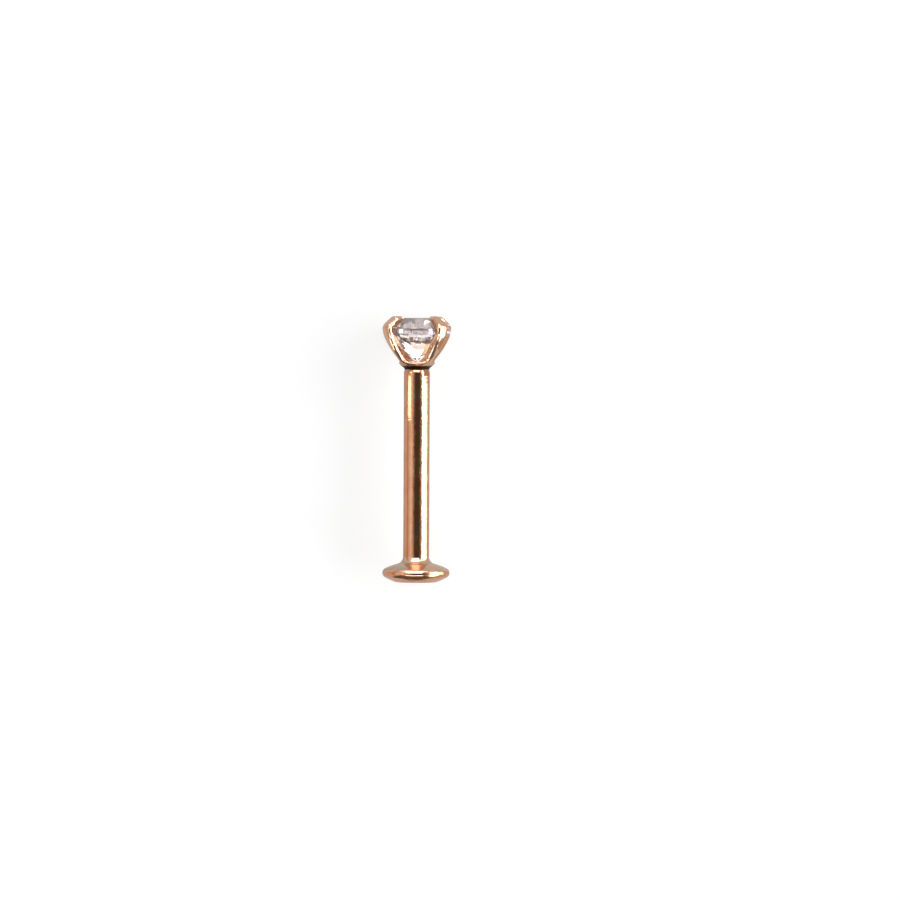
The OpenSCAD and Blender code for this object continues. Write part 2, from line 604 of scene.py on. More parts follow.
@dataclass(frozen=True)
class ClearStone:
    """A clear cut stone with a trace of colour, and faint polish marks."""

    tint: Colour = (0.73, 0.64, 0.62)
    clearness: float = 0.88
    index: float = 2.16
    polish: float = 0.015
    mark_roughness: float = 0.04
    marks: Grain = Grain(scale=2.4, detail=3.0, low=0.5, high=0.8)

    def material(self, name: str) -> bpy.types.Material:
        """Builds the finish.

        Args:
            name: The material's name.

        Returns:
            The material.
        """
        material, graph = new_material(name)
        graph.surface({
            "Base Color": self.tint,
            "Roughness": self.polish + self.marks.mask(graph, graph.place()) * self.mark_roughness,
            "IOR": self.index,
            "Transmission Weight": self.clearness,
        })
        return material


@dataclass
class FlatBackPost:
    """The round post on its domed flat-back disc, with the bore for the head's pin."""

    post_d: float = 1.04
    post_l: float = 7.7
    shoulder_r: float = 0.015
    taper_l: float = 0.14
    taper_r: float = 0.4
    fillet_r: float = 0.3
    disc_d: float = 2.7
    rim_h: float = 0.37
    rim_round: float = 0.2
    dome_r: float = 2.8
    under_r: float = 2.5
    foot_round: float = 0.05
    bore_r: float = 0.33
    bore_l: float = 2.08
    satin_from: float = 0.1
    sides: int = 192

    @property
    def post_r(self) -> float:
        """Radius of the post."""
        return self.post_d / 2

    @property
    def disc_r(self) -> float:
        """Radius of the disc."""
        return self.disc_d / 2

    @property
    def rim_x(self) -> float:
        """Radius of the circle on which the rim's round is centred."""
        return self.disc_r - self.rim_round

    @property
    def dome_z(self) -> float:
        """Height of the dome's centre."""
        return self.rim_h - math.sqrt((self.dome_r - self.rim_round) ** 2 - self.rim_x**2)

    @property
    def under_z(self) -> float:
        """Height of the centre of the curve below the rim."""
        return self.rim_h + math.sqrt((self.under_r - self.rim_round) ** 2 - self.rim_x**2)

    @property
    def fillet_x(self) -> float:
        """Radius of the circle on which the fillet is centred."""
        return self.post_r + self.fillet_r

    @property
    def fillet_z(self) -> float:
        """Height of the fillet's centre, which touches both post and dome."""
        return self.dome_z + math.sqrt((self.dome_r + self.fillet_r) ** 2 - self.fillet_x**2)

    @property
    def dome_top(self) -> float:
        """Height at which the dome would meet the bare post."""
        return self.dome_z + math.sqrt(self.dome_r**2 - self.post_r**2)

    @property
    def top(self) -> float:
        """Height of the post's top face."""
        return self.dome_top + self.post_l

    def outline(self) -> Outline:
        """Draws half of the outline, from the foot's middle up to the bore's floor.

        Returns:
            The outline.
        """
        foot_x = math.sqrt((self.under_r - self.foot_round) ** 2 - (self.under_z - self.foot_round) ** 2)
        under_low = math.atan2(self.foot_round - self.under_z, foot_x)
        under_high = math.atan2(self.rim_h - self.under_z, self.rim_x)
        dome_low = math.atan2(self.rim_h - self.dome_z, self.rim_x)
        dome_high = math.atan2(self.fillet_z - self.dome_z, self.fillet_x)
        quarter = math.pi / 2
        taper = math.asin(self.taper_l / self.taper_r)
        end_r = self.post_r - self.taper_r * (1 - math.cos(taper))
        shoulder = (end_r - self.shoulder_r, self.top - self.shoulder_r)
        return (
            Outline((0.0, 0.0))
            .line(foot_x, 0.0, steps=12)
            .arc((foot_x, self.foot_round), self.foot_round, -quarter, under_low, steps=6)
            .arc((0.0, self.under_z), self.under_r, under_low, under_high, steps=24)
            .arc((self.rim_x, self.rim_h), self.rim_round, under_high, dome_low, steps=16)
            .arc((0.0, self.dome_z), self.dome_r, dome_low, dome_high, steps=32)
            .arc((self.fillet_x, self.fillet_z), self.fillet_r, dome_high - math.pi, -math.pi, steps=14)
            .line(self.post_r, self.top - self.taper_l, steps=60)
            .arc((self.post_r - self.taper_r, self.top - self.taper_l), self.taper_r, 0.0, taper, steps=10)
            .arc(shoulder, self.shoulder_r, taper, quarter, steps=6)
            .line(self.bore_r, self.top, steps=3)
            .line(self.bore_r, self.top - self.bore_l, steps=8)
            .line(0.0, self.top - self.bore_l, steps=4)
        )

    def build(self, lie: "Lie") -> bpy.types.Object:
        """Turns the outline round the axis and dresses it.

        Args:
            lie: How the stud lies.

        Returns:
            The finished piece.
        """
        satin = Stretch(
            low=self.rim_h + self.satin_from,
            high=self.fillet_z,
            inner=self.post_r,
            plating=(0.66, 0.47, 0.34),
            roughness=0.13,
            blend=0.06,
        )
        finish = RoseGold().material("rose_gold_post", lie, satin)
        piece = new_piece("turned_post", self.outline().mesh("turned_post"))
        turning_tree(self.sides, finish).run(piece)
        lie.lay_down(piece)
        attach(piece, BODY)
        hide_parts("post")
        return piece


def turning_tree(sides: int, finish: bpy.types.Material) -> ShapeTree:
    """Makes the tree that turns an outline in the XZ plane round the Z axis.

    Args:
        sides: Number of sides round the axis.
        finish: The material of the turned piece.

    Returns:
        The tree, ready to run on an object that holds the outline.
    """
    tree = ShapeTree("Turned outline")
    around = tree.size("Sides", sides)
    outline = {"Geometry": tree.geometry}
    count = tree.add("GeometryNodeAttributeDomainSize", {"component": "MESH"}, outline, "Point Count")
    counts = {"Vertices X": around + 1.0, "Vertices Y": count}
    grid = tree.add("GeometryNodeMeshGrid", inputs=counts, output="Mesh")
    number = tree.add("GeometryNodeInputIndex")
    # Half a point more keeps the share clear of whole numbers, where rounding could lose a side.
    side = tree.math("FLOOR", (number + 0.5) / count)
    point = tree.add(
        "GeometryNodeSampleIndex",
        {"data_type": "FLOAT_VECTOR", "domain": "POINT"},
        {
            **outline,
            "Value": tree.add("GeometryNodeInputPosition"),
            "Index": tree.math("MODULO", number, count),
        },
        "Value",
    )
    radius, _, height = tree.split(point)
    angle = side / around * FULL_TURN
    across = radius * tree.math("COSINE", angle)
    aside = radius * tree.math("SINE", angle)
    place = tree.add("ShaderNodeCombineXYZ", inputs={"X": across, "Y": aside, "Z": height})
    turned = tree.add("GeometryNodeSetPosition", inputs={"Geometry": grid, "Position": place})
    closed = tree.add("GeometryNodeMergeByDistance", inputs={"Geometry": turned, "Distance": MERGE_GAP})
    smooth = tree.add("GeometryNodeSetShadeSmooth", inputs={"Geometry": closed})
    tree.end(smooth, finish)
    return tree


@dataclass
class RoundBrilliant:
    """The clear stone: a table, a crown and a pavilion of facets round a smooth girdle.

    Heights are measured from the culet.
    """

    diameter: float = 2.68
    table_d: float = 1.58
    crown_h: float = 0.44
    girdle_t: float = 0.18
    pavilion_h: float = 1.1
    star_share: float = 0.5
    half_share: float = 0.24
    mains: int = 8
    facet_turn: float = 0.5
    girdle_steps: int = 144

    @property
    def radius(self) -> float:
        """Radius of the girdle."""
        return self.diameter / 2

    @property
    def corner_r(self) -> float:
        """Radius at which the slopes of crown and pavilion meet the girdle's edges."""
        return self.radius / math.cos(self.half_turn / 2)

    @property
    def half_turn(self) -> float:
        """Turn from the middle of one main facet to the edge of the next, in radians."""
        return math.pi / self.mains

    @property
    def girdle_low(self) -> float:
        """Height of the girdle's lower edge."""
        return self.pavilion_h

    @property
    def girdle_top(self) -> float:
        """Height of the girdle's upper edge."""
        return self.girdle_low + self.girdle_t

    @property
    def table_z(self) -> float:
        """Height of the table."""
        return self.girdle_top + self.crown_h

    @property
    def crown_slope(self) -> float:
        """Fall of the crown's main facets."""
        return self.crown_h / (self.corner_r - self.table_d / 2)

    @property
    def pavilion_slope(self) -> float:
        """Rise of the pavilion's main facets."""
        return self.pavilion_h / self.corner_r

    def planes(self) -> list[tuple[Vector, Vector]]:
        """Works out the facets' planes.

        Returns:
            A point and an outward normal for each plane.
        """
        table_r = self.table_d / 2
        gap = self.half_turn
        star_r = table_r * math.cos(gap) * (1 - self.star_share) + self.corner_r * self.star_share
        star_z = self.table_z - (star_r * math.cos(gap) - table_r) * self.crown_slope
        half_r = self.corner_r * self.half_share
        half_z = half_r * math.cos(gap) * self.pavilion_slope
        planes = [(Vector((0, 0, self.table_z)), Vector((0, 0, 1)))]
        for k in range(self.mains):
            main = gap * self.facet_turn + 2 * gap * k
            corner = around(table_r, main, self.table_z)
            star = around(star_r, main + gap, star_z)
            half = around(half_r, main + gap, half_z)
            edge = around(table_r, main + 2 * gap, self.table_z)
            planes.append((corner, around(self.crown_slope, main, 1.0)))
            planes.append((Vector((0, 0, 0)), around(self.pavilion_slope, main, -1.0)))
            planes.append(plane_through(star, corner, edge))
            for side in (main, main + gap):
                for tip, height in ((star, self.girdle_top), (half, self.girdle_low)):
                    low = around(self.corner_r, side, height)
                    high = around(self.corner_r, side + gap, height)
                    planes.append(plane_through(tip, low, high))
        return planes

    def build(self, lie: "Lie", culet_z: float) -> bpy.types.Object:
        """Cuts the facets from a round blank and dresses the stone.

        Args:
            lie: How the stud lies.
            culet_z: Height of the culet on the upright stud.

        Returns:
            The finished piece.
        """
        blank = bmesh.new()
        bmesh.ops.create_cone(
            blank,
            cap_ends=True,
            segments=self.girdle_steps,
            radius1=self.radius,
            radius2=self.radius,
            depth=2 * self.table_z,
        )
        for point, normal in self.planes():
            cut = bmesh.ops.bisect_plane(
                blank,
                geom=blank.verts[:] + blank.edges[:] + blank.faces[:],
                dist=SAME_POINT,
                plane_co=point,
                plane_no=normal,
                clear_outer=True,
            )
            edges = [part for part in cut["geom_cut"] if isinstance(part, bmesh.types.BMEdge)]
            bmesh.ops.holes_fill(blank, edges=edges)
        bmesh.ops.remove_doubles(blank, verts=blank.verts, dist=MERGE_GAP)
        bmesh.ops.recalc_face_normals(blank, faces=blank.faces)
        bmesh.ops.translate(blank, verts=blank.verts, vec=(0, 0, culet_z))
        piece = new_piece("round_brilliant")
        blank.to_mesh(piece.data)
        blank.free()
        piece.data.materials.append(ClearStone().material("clear_stone"))
        lie.lay_down(piece)
        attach(piece, BODY)
        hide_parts("stone")
        return piece


def around(radius: float, angle: float, height: float) -> Vector:
    """Returns the point at that radius, angle in radians and height."""
    return Vector((radius * math.cos(angle), radius * math.sin(angle), height))


def plane_through(first: Vector, second: Vector, third: Vector) -> tuple[Vector, Vector]:
    """Works out the plane through three points.

    Args:
        first: The first point.
        second: The second point.
        third: The third point.

    Returns:
        The first point, and the normal that points away from the axis.
    """
    normal = (second - first).cross(third - first).normalized()
    middle = (first + second + third) / 3
    outward = Vector((middle.x, middle.y, 0))
    return first, normal if normal.dot(outward) > 0 else -normal


@dataclass
class ProngHead:
    """The cast head: a cup with four windows, four claws, the neck and the hidden pin."""

    post: FlatBackPost
    stone: RoundBrilliant
    seam: float = 0.02
    neck_h: float = 0.115
    neck_in: float = 0.02
    neck_foot: float = 0.03
    neck_round: float = 0.008
    seam_fill: float = 0.014
    cup_lip: float = 0.06
    floor_t: float = 0.165
    wall_t: float = 0.36
    bow_r: float = 3.2
    sill_h: float = 0.195
    window_round: float = 0.2
    prongs: int = 4
    prong_deg: float = 18.0
    seat_gap: float = 0.03
    prong_over: float = 0.28
    elbow_up: float = 0.05
    elbow_over: float = 0.14
    claw_deg: float = 50.0
    claw_over: float = 0.07
    claw_back: float = 0.07
    culet_gap: float = 0.05
    touch_gap: float = 0.006
    pin_r: float = 0.3
    pin_l: float = 2.0
    side_round: float = 0.14
    elbow_round: float = 0.12
    edge_round: float = 0.05
    cut_round: float = 0.03
    neck_fillet: float = 0.04
    foot_round: float = 0.01
    pin_round: float = 0.02
    # How far up the cup the painted seam shade reaches.
    seam_shade_over: float = 0.03
    cell: float = 0.02
    spare_cells: int = 3

    @property
    def neck_low(self) -> float:
        """Height of the neck's lower end."""
        return self.post.top + self.seam

    @property
    def cup_low(self) -> float:
        """Height of the cup's lower edge."""
        return self.neck_low + self.neck_h

    @property
    def floor_z(self) -> float:
        """Height of the cup's floor."""
        return self.cup_low + self.floor_t

    @property
    def culet_z(self) -> float:
        """Height of the stone's culet."""
        return self.floor_z + self.culet_gap

    @property
    def elbow_r(self) -> float:
        """Radius of the prongs' elbows."""
        return self.stone.corner_r + self.seat_gap + self.prong_over

    @property
    def top(self) -> float:
        """Height of the claws' flat tops."""
        return self.culet_z + self.stone.table_z + self.claw_over

    def bow_centre(self) -> tuple[float, float]:
        """Finds the centre of the wall's bow, which runs from the cup's foot to the elbows.

        Returns:
            Its radius and height.
        """
        foot = Vector((self.post.post_r + self.cup_lip, self.cup_low))
        elbow = Vector((self.elbow_r, self.culet_z + self.stone.girdle_low + self.elbow_up))
        run = elbow - foot
        back = math.sqrt(self.bow_r**2 - run.length_squared / 4) / run.length
        centre = (foot + elbow) / 2 + back * Vector((-run.y, run.x))
        return centre.x, centre.y

    def build(self, lie: "Lie") -> bpy.types.Object:
        """Draws the metal from its distances and dresses it.

        Args:
            lie: How the stud lies.

        Returns:
            The finished piece.
        """
        cast = RoseGold(
            plating=(0.77, 0.49, 0.33),
            deep=(0.71, 0.42, 0.28),
            dent_depth=0.03,
            polish=0.1,
            hairline_depth=0.0002,
        )
        # Near-black colour over the neck and the seam under the cup: painted shade where the cup's foot
        # shades them.
        seam_shade = Stretch(
            low=self.neck_low - self.seam,
            high=self.cup_low + self.seam_shade_over,
            inner=0.0,
            plating=(0.02, 0.01, 0.004),
            roughness=0.3,
            blend=0.03,
        )
        finish = cast.material("rose_gold_head", lie, seam_shade)
        tree = ShapeTree("Prong head")
        margin = self.spare_cells * self.cell
        reach = self.elbow_r + margin
        low = Vector((-reach, -reach, self.neck_low - self.pin_l - margin))
        high = Vector((reach, reach, self.top + margin))
        counts = [math.ceil(side / self.cell) for side in high - low]
        high = low + Vector(counts) * self.cell
        level = 1.0
        volume = tree.add(
            "GeometryNodeVolumeCube",
            inputs={
                "Density": level - HeadMetal(self, tree).distance(),
                "Background": 0.0,
                "Min": low,
                "Max": high,
                **{f"Resolution {axis}": count + 1 for axis, count in zip("XYZ", counts)},
            },
        )
        skin = tree.add(
            "GeometryNodeVolumeToMesh",
            {"resolution_mode": "GRID"},
            {"Volume": volume, "Threshold": level, "Adaptivity": 0.0},
        )
        tree.end(tree.add("GeometryNodeSetShadeSmooth", inputs={"Geometry": skin}), finish)
        piece = new_piece("prong_head")
        tree.run(piece)
        lie.lay_down(piece)
        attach(piece, BODY)
        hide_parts("setting")
        return piece


class HeadMetal:
    """The head's shape as a signed distance in millimetres, negative inside the metal."""

    def __init__(self, head: ProngHead, tree: ShapeTree) -> None:
        """Starts from a point's place on the upright stud.

        Args:
            head: The head's sizes.
            tree: The Geometry Nodes tree that gets the nodes.
        """
        x, y, z = tree.split(tree.add("GeometryNodeInputPosition"))
        centre_x, centre_z = head.bow_centre()
        self.head = head
        self.tree = tree
        self.z = z
        self.radius = tree.length(x, y)
        self.turn = tree.math("ARCTAN2", y, x)
        self.from_bow = tree.length(self.radius - centre_x, z - centre_z)

    def distance(self) -> Wire:
        """Joins the cup, its windows and its hollow with the neck and the pin.

        Returns:
            The distance to the metal's surface.
        """
        tree = self.tree
        side = tree.size("Prong rounding", self.head.side_round)
        cut = tree.size("Seat rounding", self.head.cut_round)
        body = tree.both(tree.both(self._cup(), -self._window(), side), -self._hollow(), cut)
        return tree.either(tree.least(self._neck(), self._pin()), body, self.head.neck_fillet)

    def _neck(self) -> Wire:
        """Draws the cone between the seam and the cup.

        Returns:
            The distance to it.
        """
        head, tree, z = self.head, self.tree, self.z
        low_r = head.post.post_r - head.neck_in
        flare = (head.post.post_r + head.cup_lip - low_r) / (head.neck_h - head.neck_foot)
        rise = tree.most(z - head.neck_low - head.neck_foot, 0.0)
        side = self.radius - low_r - rise * flare
        ends = tree.most(head.neck_low - head.seam_fill - z, z - head.cup_low - head.edge_round)
        return tree.both(side / math.sqrt(1 + flare**2), ends, head.neck_round)

    def _pin(self) -> Wire:
        """Draws the hidden pin.

        Returns:
            The distance to it.
        """
        head = self.head
        ends = self.tree.most(head.neck_low - head.pin_l - self.z, self.z - head.cup_low)
        return self.tree.both(self.radius - head.pin_r, ends, head.pin_round)

    def _cup(self) -> Wire:
        """Draws the cup's outer form, solid to the axis.

        Returns:
            The distance to it.
        """
        head, tree, radius, z = self.head, self.tree, self.radius, self.z
        edge = tree.size("Edge rounding", head.edge_round)
        bend = tree.size("Elbow rounding", head.elbow_round)
        elbow = tree.size("Elbow radius", head.elbow_r)
        elbow_top = head.culet_z + head.stone.girdle_top + head.elbow_over
        bow = self.from_bow - tree.size("Bow radius", head.bow_r)
        slant = math.radians(head.claw_deg)
        slope = (radius - elbow) * math.cos(slant) + (z - elbow_top) * math.sin(slant)
        top = z - tree.size("Claw top", head.top)
        claws = tree.both(tree.both(radius - elbow, slope, bend), top, edge)
        foot = tree.size("Cup foot", head.cup_low) - z
        return tree.both(tree.both(bow, claws, bend), foot, head.foot_round)

    def _hollow(self) -> Wire:
        """Draws the hollow under the stone and the stone's own room.

        Returns:
            The distance to both together.
        """
        head, stone, tree = self.head, self.head.stone, self.tree
        radius, z = self.radius, self.z
        inner = self.from_bow - (head.bow_r - tree.size("Wall", head.wall_t))
        floor = tree.size("Floor height", head.floor_z) - z
        basket = tree.most(inner, floor, z - (head.culet_z + stone.girdle_low))
        flat = math.sqrt(1 + stone.pavilion_slope**2)
        pavilion = (head.culet_z - z + radius * stone.pavilion_slope) / flat - head.touch_gap
        steep = math.sqrt(1 + stone.crown_slope**2)
        crown_edge = head.culet_z + stone.girdle_top + stone.corner_r * stone.crown_slope
        crown = (z - crown_edge + radius * stone.crown_slope) / steep - head.touch_gap
        seat = radius - tree.size("Seat radius", stone.radius + head.touch_gap)
        throat = radius - tree.size("Throat radius", stone.table_d / 2 + head.claw_back)
        open_top = tree.most(throat, head.culet_z + stone.girdle_top - z)
        return tree.least(basket, tree.most(pavilion, crown, seat), open_top)

    def _window(self) -> Wire:
        """Draws the gaps between the prongs, rounded at their sills.

        Returns:
            The distance to them.
        """
        head, tree = self.head, self.tree
        pitch = math.pi / head.prongs
        half = pitch - math.radians(head.prong_deg) / 2
        from_middle = tree.math("PINGPONG", self.turn, pitch)
        across = self.radius * tree.math("SINE", from_middle)
        ahead = self.radius * tree.math("COSINE", from_middle)
        side = across * math.cos(half) - ahead * math.sin(half)
        sill = tree.size("Sill height", head.cup_low + head.sill_h) - self.z
        return tree.both(side, sill, tree.size("Window rounding", head.window_round))


@dataclass
class Lie:
    """How the stud lies: on two prongs and its disc's rim, with the head to +X."""

    post: FlatBackPost
    stone: RoundBrilliant
    head: ProngHead

    @property
    def rest_r(self) -> float:
        """Radius at which two prongs, or else the stone, touch the table."""
        off_middle = math.pi / self.head.prongs - math.radians(self.head.prong_deg) / 2
        return max(self.stone.radius, self.head.elbow_r * math.cos(off_middle))

    @property
    def rest_z(self) -> float:
        """Height on the upright stud at which the prongs touch the table."""
        return self.head.culet_z + self.stone.girdle_low + self.head.elbow_up

    @property
    def lean(self) -> float:
        """The axis's rise from the disc to the head, in radians."""
        return math.atan2(self.rest_r - self.post.disc_r, self.rest_z - self.post.rim_h)

    @property
    def axis_z(self) -> float:
        """Height of the axis at the disc's underside."""
        return self.rest_r * math.cos(self.lean) - self.rest_z * math.sin(self.lean)

    @property
    def mid_x(self) -> float:
        """Half of the length that the stud takes up on the table."""
        return self.head.top * math.cos(self.lean) / 2

    def matrix(self) -> Matrix:
        """Works out the move from the upright stud in millimetres to the row frame.

        Returns:
            The move's matrix.
        """
        turn = Matrix.Rotation(math.pi / 2 - self.lean, 4, "Y")
        move = Matrix.Translation((-self.mid_x, 0.0, self.axis_z))
        return Matrix.Scale(MM, 4) @ move @ turn

    def lay_down(self, piece: bpy.types.Object) -> None:
        """Moves an upright piece's mesh to where it lies."""
        piece.data.transform(self.matrix())
        piece.data.update()

    def upright(self, graph: Graph, place: Wire) -> tuple[Wire, Wire]:
        """Adds the nodes that give a place's height and radius on the upright stud.

        Args:
            graph: The material's graph.
            place: Object coordinates in millimetres.

        Returns:
            The height above the disc's underside and the distance from the axis.
        """
        foot = (-self.mid_x, 0.0, self.axis_z)
        along = Vector((math.cos(self.lean), 0.0, math.sin(self.lean)))
        offset = graph.vector("SUBTRACT", place, foot)
        height = graph.vector("DOT_PRODUCT", offset, along, output="Value")
        far = graph.vector("LENGTH", offset, output="Value")
        return height, graph.math("SQRT", graph.most(far * far - height * height, 0.0))


def grey(level: float) -> Colour:
    """Returns a grey, with white paper at 1."""
    return (level, level, level)


def corners(first: Span, second: Span) -> list[Span]:
    """Returns the corners of the rectangle between two spans, in order round it."""
    return [(first[i], second[j]) for i, j in ((0, 0), (1, 0), (1, 1), (0, 1))]


def lying(along: Span, across: Span, up: float) -> list[Vector]:
    """Returns the corners, in metres, of a level sheet whose place is in millimetres."""
    return [Vector((x, y, up)) * MM for x, y in corners(along, across)]


def standing(along: Span, across: float, up: Span) -> list[Vector]:
    """Returns the corners, in metres, of a sheet that stands along the stud, in the same way."""
    return [Vector((x, across, z)) * MM for x, z in corners(along, up)]


def facing(middle: Vector, width: float, height: float) -> list[Vector]:
    """Works out the corners of a sheet that faces the stud.

    Args:
        middle: The sheet's middle, in metres.
        width: Its width.
        height: Its height.

    Returns:
        The four corners.
    """
    axes = middle.to_track_quat("Z", "Y").to_matrix()
    across = axes.col[0] * width / 2
    upward = axes.col[1] * height / 2
    return [middle + a * across + b * upward for a, b in corners((-1, 1), (-1, 1))]


@dataclass(frozen=True)
class Card:
    """A flat sheet of the stage, by its corners in metres.

    Glow is the light that it gives by itself, and shade the share that it sends back, by
    colour, with white paper at 1.
    """

    name: str
    place: list[Vector]
    glow: Colour
    shade: Colour = (0.02, 0.02, 0.02)
    shows: Shows = Shows.MIRRORED

    def build(self) -> None:
        """Makes the sheet, which only the rays that it shows to can meet."""
        material, graph = new_material(self.name)
        level = max(*self.glow, 1.0)
        graph.surface({
            "Base Color": self.shade,
            "Roughness": PAPER_ROUGHNESS,
            "Specular IOR Level": 0.0,
            "Emission Color": tuple(Vector(self.glow) / level),
            "Emission Strength": level,
        })
        mesh = bpy.data.meshes.new(self.name)
        mesh.from_pydata(self.place, [], [(0, 1, 2, 3)])
        mesh.materials.append(material)
        sheet = new_piece(self.name, mesh)
        for ray in ("camera", "diffuse", "glossy", "transmission", "shadow"):
            setattr(sheet, f"visible_{ray}", ray in self.shows.value)


@dataclass(frozen=True)
class Tent:
    """The pale walls all round the stud, which are dark round the camera.

    The walls' stops are cosines of the angle from the dark hole's middle, with the
    brightness there. The ground below is pale, but dark towards one side.
    """

    walls: tuple[Span, ...] = (
        (0.0, 0.72),
        (0.35, 0.78),
        (0.58, 0.95),
        (0.713, 0.80),
        (0.822, 0.42),
        (0.902, 0.16),
        (0.951, 0.07),
    )
    horizon: float = 0.02
    pale_ground: float = 0.65
    dark_ground: float = 0.12
    dark_side: Colour = (-0.98, 0.17, -0.1)
    dark_from: float = 0.86
    dark_to: float = 0.78
    strength: float = 1.1

    def build(self, hole: Vector) -> None:
        """Makes the world.

        Args:
            hole: The direction of the dark hole's middle.
        """
        world = bpy.data.worlds.new("light_tent")
        bpy.context.scene.world = world
        world.use_nodes = True
        graph = Graph(world.node_tree)
        direction = graph.add("ShaderNodeTexCoord", output="Generated")
        toward = graph.vector("DOT_PRODUCT", direction, hole, output="Value")
        stops = [(place, grey(level)) for place, level in self.walls]
        wall = graph.add("ShaderNodeValToRGB", {"stops": stops}, {"Fac": toward})
        _, _, height = graph.split(direction)
        below = graph.step(height, 0.0, -self.horizon)
        shade = graph.vector("DOT_PRODUCT", direction, self.dark_side, output="Value")
        pale = graph.step(shade, self.dark_from, self.dark_to)
        ground = (self.pale_ground - self.dark_ground) * pale + self.dark_ground
        floor = graph.add("ShaderNodeCombineColor", inputs=dict.fromkeys(("Red", "Green", "Blue"), ground))
        seen = graph.mix_colour(below, wall, floor)
        glow = graph.add("ShaderNodeBackground", inputs={"Color": seen, "Strength": self.strength})
        graph.add("ShaderNodeOutputWorld", inputs={"Surface": glow})


@dataclass
class Studio:
    """The pale table, what the stud mirrors, what shows through the stone, and the camera."""

    lie: Lie
    roll_deg: float = 4.5
    nod_deg: float = 1.0
    hole_deg: float = 7.0
    lens_mm: float = 200.0
    field_mm: float = 36.0
    clip_m: Span = (0.001, 10.0)
    base_row: float = 582.3
    head_row: float = 315.3
    base_column: float = 415.95
    head_column: float = 417.2
    floor_side: float = 660.0
    tan: Colour = (0.5, 0.42, 0.36)

    @property
    def pixel(self) -> float:
        """Millimetres in one pixel of the picture."""
        return self.field_mm / IMAGE_SIDE

    def build(self) -> None:
        """Builds the table, the light tent, the key light, the cards and the camera."""
        Tent().build(self._toward(self.hole_deg))
        for card in self._table():
            card.build()
        self._panel("key_panel", Vector((0.0, -0.43, 0.127)), width=0.62, height=0.283, radiance=6.2)
        for card in (*self._walls(), *self._small_cards(), *self._stone_beds()):
            card.build()
        self._camera()

    def _table(self) -> list[Card]:
        """Lists the pale table and white walls that are seen, and the table that is mirrored.

        Returns:
            The cards.
        """
        half = self.floor_side / 2
        floor = lying((-half, half), (-half, half), up=0.0)
        up = Vector((0.0, 0.0, half * MM))
        cards = [Card("seen_table", floor, glow=grey(0.7), shade=grey(0.36), shows=Shows.SEEN)]
        for first, second in zip(floor, floor[1:] + floor[:1]):
            wall = [first - up, second - up, second + up, first + up]
            cards.append(Card("seen_wall", wall, glow=grey(0.98), shade=grey(0.0), shows=Shows.SEEN))
        mirrored = lying(along=(-7.3, 7.5), across=(-2.7, 2.7), up=-0.005)
        cards.append(Card("mirrored_table", mirrored, glow=grey(0.0), shade=grey(0.70)))
        return cards

    def _walls(self) -> list[Card]:
        """Lists the large cards round the stud.

        Returns:
            The cards.
        """
        left = facing(self._toward(-49.0, far=0.5), width=0.5, height=0.03)
        low_left = facing(Vector((0.0, 0.5, 0.09)), width=1.2, height=0.17)
        below_disc = facing(Vector((-0.39, 0.07, 0.2)), width=0.8, height=0.5)
        over_disc = facing(self._toward_end(-38.0, far=0.39), width=0.4, height=0.045)
        over_head = facing(self._toward_end(43.5, far=0.5), width=0.5, height=0.54)
        beside_key = facing(Vector((-0.4, -0.42, 0.12)), width=0.14, height=0.2)
        return [
            Card("left_strip", left, glow=grey(1.3)),
            Card("warm_wall", low_left, glow=grey(0.0), shade=(0.6, 0.4, 0.33)),
            Card("dark_wall", below_disc, glow=grey(0.15)),
            Card("down_strip", over_disc, glow=grey(9.0)),
            Card("up_panel", over_head, glow=grey(4.0)),
            Card("key_wing", beside_key, glow=grey(5.5)),
        ]

    def _small_cards(self) -> list[Card]:
        """Lists small cards beside the disc and the head, for single highlights and shades.

        Returns:
            The cards.
        """
        return [
            Card("low_light", standing((-9.0, 2.8), across=-20.0, up=(-6.2, 1.8)), glow=grey(4.0)),
            Card("prong_shade", standing((3.6, 5.4), across=-2.6, up=(-1.5, 2.2)), glow=self.tan),
            Card("cup_shade", standing((2.9, 4.2), across=-1.9, up=(-1.5, 2.4)), glow=self.tan),
            Card("left_light", standing((1.2, 2.9), across=2.3, up=(2.2, 3.7)), glow=grey(3.2)),
            Card("left_glint", standing((4.0, 5.0), across=6.2, up=(6.0, 8.6)), glow=grey(7.0)),
            Card("right_glint", standing((4.0, 5.0), across=-6.2, up=(6.0, 7.9)), glow=grey(7.0)),
        ]

    def _stone_beds(self) -> list[Card]:
        """Lists small glowing sheets under and over the head that only the stone shows: painted light and
        shade in its facets.

        Returns:
            The cards.
        """
        wide = (-1.0, 1.4)
        under = -0.003
        over = 3.0
        beds = (
            ("crown_bed", (3.3, 4.4), wide, under, (0.18, 0.155, 0.14)),
            ("girdle_bed", (4.4, 4.84), wide, under, (0.25, 0.22, 0.27)),
            ("under_girdle_bed", (4.5, 4.615), wide, -0.002, grey(2.0)),
            ("low_bed", (4.84, 4.955), (-0.4, 0.4), under, grey(4.5)),
            ("left_bed", (4.955, 5.3), (-0.4, -0.02), under, grey(4.5)),
            ("middle_bed", (4.955, 5.3), (-0.02, 0.3), under, (2.0, 1.75, 1.6)),
            ("right_bed", (4.955, 5.3), (0.3, 1.0), under, (2.2, 1.4, 0.6)),
            ("culet_bed", (3.9, 4.75), (-0.6, 0.6), over, grey(6.5)),
            ("upper_bed", (3.4, 3.9), (-0.6, 0.6), over, grey(1.5)),
        )
        return [
            Card(name, lying(along, across, up), glow, shows=Shows.THROUGH_STONE)
            for name, along, across, up, glow in beds
        ]

    def toward_camera(self) -> Vector:
        """Works out where the camera is, as seen from the stud.

        Returns:
            The direction.
        """
        roll = math.radians(self.roll_deg)
        nod = math.radians(self.nod_deg)
        across = math.cos(nod)
        return Vector((math.sin(nod), -math.sin(roll) * across, math.cos(roll) * across))

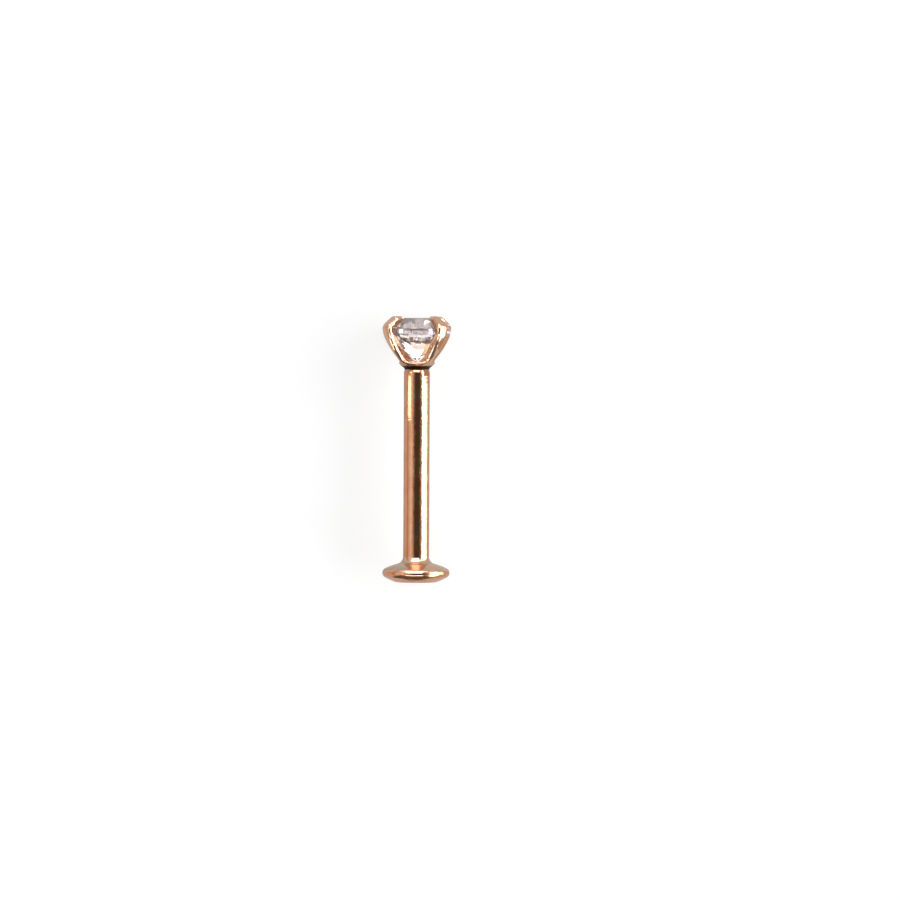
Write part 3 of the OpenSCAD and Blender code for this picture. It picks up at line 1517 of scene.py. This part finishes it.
    def _toward(self, degrees: float, far: float = 1.0) -> Vector:
        """Returns the point so far off, so many degrees from the camera to the picture's right."""
        angle = math.radians(degrees + self.roll_deg)
        return Vector((0.0, -math.sin(angle), math.cos(angle))) * far

    @staticmethod
    def _toward_end(degrees: float, far: float) -> Vector:
        """Returns the point so far off, so many degrees from straight up to the picture's top."""
        angle = math.radians(degrees)
        return Vector((math.sin(angle), 0.0, math.cos(angle))) * far

    @staticmethod
    def _panel(name: str, place: Vector, width: float, height: float, radiance: float) -> None:
        """Adds an area light that faces the stud.

        Args:
            name: The light's name.
            place: Its middle, in metres.
            width: Its width.
            height: Its height.
            radiance: How bright its face is, with white paper at 1.
        """
        light = bpy.data.lights.new(name, "AREA")
        light.shape = "RECTANGLE"
        light.size = width
        light.size_y = height
        light.energy = radiance * math.pi * width * height
        panel = bpy.data.objects.new(name, light)
        panel.location = place
        panel.rotation_euler = place.to_track_quat("Z", "Y").to_euler()
        panel.visible_camera = False
        panel.visible_transmission = False
        bpy.context.scene.collection.objects.link(panel)

    def _camera(self) -> None:
        """Sets the camera over the stud, at the picture's angle and framing."""
        data = bpy.data.cameras.new("camera")
        data.sensor_width = self.field_mm
        data.lens = self.lens_mm
        data.clip_start, data.clip_end = self.clip_m
        camera = bpy.data.objects.new("camera", data)
        bpy.context.scene.collection.objects.link(camera)
        back = self.toward_camera()
        right = Vector((1.0, 0.0, 0.0)).cross(back).normalized()
        up = back.cross(right)
        middle = IMAGE_SIDE / 2
        rise = (self.base_row - middle) * self.pixel
        climbed = (self.base_row - middle) / (self.base_row - self.head_row)
        column = self.base_column + (self.head_column - self.base_column) * climbed
        aside = (middle - column) * self.pixel
        target = Vector((-self.lie.mid_x + rise, 0.0, self.lie.axis_z)) + right * aside
        tilt = math.atan2(self.head_column - self.base_column, self.base_row - self.head_row)
        axes = Matrix((right, up, back)).transposed()
        axes = axes @ Matrix.Rotation(tilt, 3, "Z")
        camera.matrix_world = Matrix.Translation((target + back * self.lens_mm) * MM) @ axes.to_4x4()
        bpy.context.scene.camera = camera


def report(piece: bpy.types.Object) -> None:
    """Logs a piece's name, size and number of triangles.

    Args:
        piece: The piece.
    """
    piece.data.calc_loop_triangles()
    sides = " x ".join(f"{side / MM:.3f}" for side in piece.dimensions)
    log.info("%s: %s mm, %d triangles", piece.name, sides, len(piece.data.loop_triangles))


def main() -> None:
    """Builds the stud and its studio."""
    logging.basicConfig(level=logging.INFO, format="%(message)s")
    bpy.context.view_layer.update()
    bpy.context.scene.view_settings.view_transform = "Standard"
    post = FlatBackPost()
    stone = RoundBrilliant()
    head = ProngHead(post, stone)
    lie = Lie(post, stone, head)
    Studio(lie).build()
    report(post.build(lie))
    report(head.build(lie))
    report(stone.build(lie, head.culet_z))
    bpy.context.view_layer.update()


if __name__ == "__main__":
    main()
